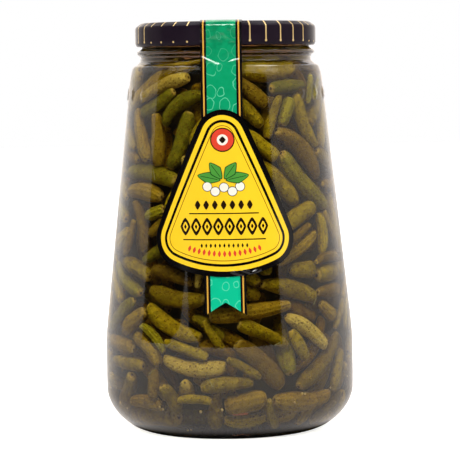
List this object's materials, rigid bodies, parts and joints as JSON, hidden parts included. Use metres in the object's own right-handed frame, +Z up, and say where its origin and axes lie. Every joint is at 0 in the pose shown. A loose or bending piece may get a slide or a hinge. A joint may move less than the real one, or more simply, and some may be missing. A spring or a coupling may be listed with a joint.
{
  "type": "pickle jar",
  "caption": "Tall tapering glass jar of small whole gherkins in brine, shut with a black twist-off cap, with a rounded triangular paper label over a green seal band.",
  "frame": {"origin": "on the floor under the middle of the jar, at the bottom centre of its box", "axes": "+Z up through the cap, +X to the right and -Y towards the viewer, where the label faces"},
  "size_m": [0.1554, 0.1554, 0.2558],
  "materials": {
    "clear_glass": "clear and smooth",
    "black_lacquer": "gloss black lacquer with thin gold stripes",
    "green_film": "glossy film, green between black edges with gold lines",
    "printed_paper": "glossy coated paper, yellow with black and yellow border rings",
    "gherkin_flesh": "wet, olive green, stands in for pickled vegetable"
  },
  "bodies": {
    "root": {"jar_glass": "clear_glass", "cap": "black_lacquer", "seal_band": "green_film", "label": "printed_paper", "gherkins": "gherkin_flesh"}
  },
  "joints": []
}
